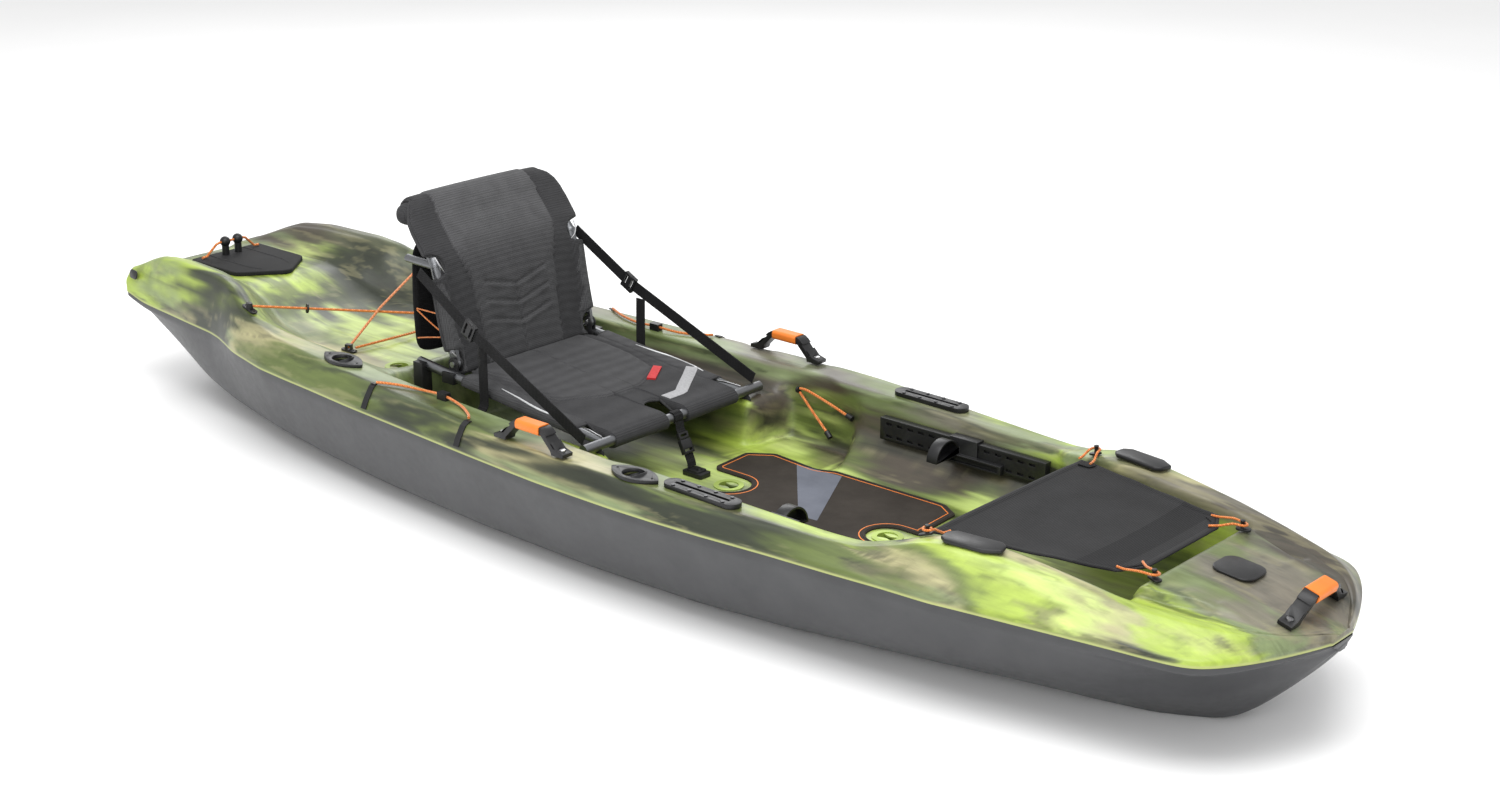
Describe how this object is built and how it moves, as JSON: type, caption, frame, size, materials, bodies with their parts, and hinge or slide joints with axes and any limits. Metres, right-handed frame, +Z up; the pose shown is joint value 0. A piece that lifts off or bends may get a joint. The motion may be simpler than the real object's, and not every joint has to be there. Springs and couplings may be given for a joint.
{
  "type": "sit-on-top kayak",
  "caption": "Sit-on-top fishing kayak with a camouflage deck, folding frame seat, rod holders, gear tracks, carry handles and elastic cord stowage.",
  "frame": {"origin": "middle of the hull's length and breadth, on the flat bottom it stands on", "axes": "+X to the bow, +Y to port, +Z up"},
  "size_m": [3.217, 0.864, 0.64],
  "materials": {
    "hull_plastic": "rotomoulded polyethylene, fine orange-peel, dark grey",
    "deck_plastic": "rotomoulded polyethylene with marbled green, olive, sand and grey-brown streaks",
    "foam": "closed-cell buoyancy foam",
    "black_plastic": "moulded black nylon",
    "orange_grip": "soft orange grip",
    "orange_cord": "braided elastic cord",
    "steel": "stainless screws and bolts",
    "mat_foam": "dark foam mat with a brushed top",
    "cover_fabric": "coated woven cover",
    "tube_aluminium": "anodised grey tube",
    "seat_fabric": "two-tone woven upholstery over foam",
    "webbing": "black woven webbing"
  },
  "bodies": {
    "hull": {"hull_shell": "hull_plastic", "deck_shell": "deck_plastic", "scupper_tubes": "deck_plastic", "foam_blocks": "foam", "drain_socket": "black_plastic", "floor_mat": "mat_foam", "handle_body_starboard": "black_plastic", "handle_body_port": "black_plastic", "handle_body_bow": "black_plastic", "handle_grip_starboard": "orange_grip", "handle_grip_port": "orange_grip", "handle_grip_bow": "orange_grip", "handle_screws": "steel", "gear_track_starboard": "black_plastic", "gear_track_port": "black_plastic", "gear_track_screws": "steel", "rod_holder_front": "black_plastic", "rod_holder_aft_starboard": "black_plastic", "rod_holder_aft_port": "black_plastic", "deck_pad_starboard": "black_plastic", "deck_pad_port": "black_plastic", "bow_plate": "black_plastic", "stern_plates": "black_plastic", "side_rail_starboard": "black_plastic", "side_rail_port": "black_plastic", "cover_loops_fore": "orange_cord", "cover_hooks_aft": "black_plastic", "cover_hooks_fore": "black_plastic", "tank_cord": "orange_cord", "tank_cord_anchors": "black_plastic", "tank_cord_ring": "black_plastic", "paddle_cord_starboard": "orange_cord", "paddle_cord_port": "orange_cord", "paddle_cord_clips": "black_plastic", "rod_tip_cords": "orange_cord", "rod_tip_toggles": "black_plastic", "seat_base_frame": "tube_aluminium", "hinge_brackets": "black_plastic", "hinge_bolts": "steel", "seat_pan_pad": "seat_fabric", "side_strap_starboard": "webbing", "side_strap_port": "webbing", "ladder_locks": "black_plastic", "drop_straps": "webbing", "hold_down_strap": "webbing", "buckle_body": "black_plastic", "buckle_tongue": "black_plastic", "hold_down_plate": "black_plastic", "seat_saddles": "black_plastic"},
    "seat_back": {"seat_back_frame": "tube_aluminium", "seat_back_pad": "seat_fabric", "seat_rear_panel": "seat_fabric"},
    "cover": {"front_cover": "cover_fabric", "cover_loops_aft": "orange_cord"},
    "stern_lid": {"stern_cover": "black_plastic", "stern_tie_cord": "orange_cord", "stern_toggles": "black_plastic"},
    "holder_starboard": {"sliding_holder_starboard": "black_plastic"},
    "holder_port": {"sliding_holder_port": "black_plastic"},
    "plug": {"drain_plug": "black_plastic"}
  },
  "joints": [
    {"name": "seat_back_fold", "type": "hinge", "parent": "hull", "child": "seat_back", "pos_m": [-0.408, 0, 0.304], "axis": [0, 1, 0], "range_deg": [-6, 80], "deforming": ["side_strap_starboard", "side_strap_port", "ladder_locks", "drop_straps"]},
    {"name": "cover_lift", "type": "hinge", "parent": "hull", "child": "cover", "pos_m": [1.288, 0, 0.2835], "axis": [0, 1, 0], "range_deg": [0, 95], "deforming": ["cover_loops_fore"]},
    {"name": "stern_cover_lift", "type": "hinge", "parent": "hull", "child": "stern_lid", "pos_m": [-1.494, 0, 0.304], "axis": [0, -1, 0], "range_deg": [0, 80]},
    {"name": "holder_starboard_slide", "type": "slide", "parent": "hull", "child": "holder_starboard", "axis": [1, 0, 0], "range_m": [-0.17, 0.09]},
    {"name": "holder_port_slide", "type": "slide", "parent": "hull", "child": "holder_port", "axis": [1, 0, 0], "range_m": [-0.17, 0.09]},
    {"name": "drain_plug_turn", "type": "hinge", "parent": "hull", "child": "plug", "pos_m": [-1.603, 0, 0.208], "axis": [1, 0, 0], "continuous": true}
  ]
}
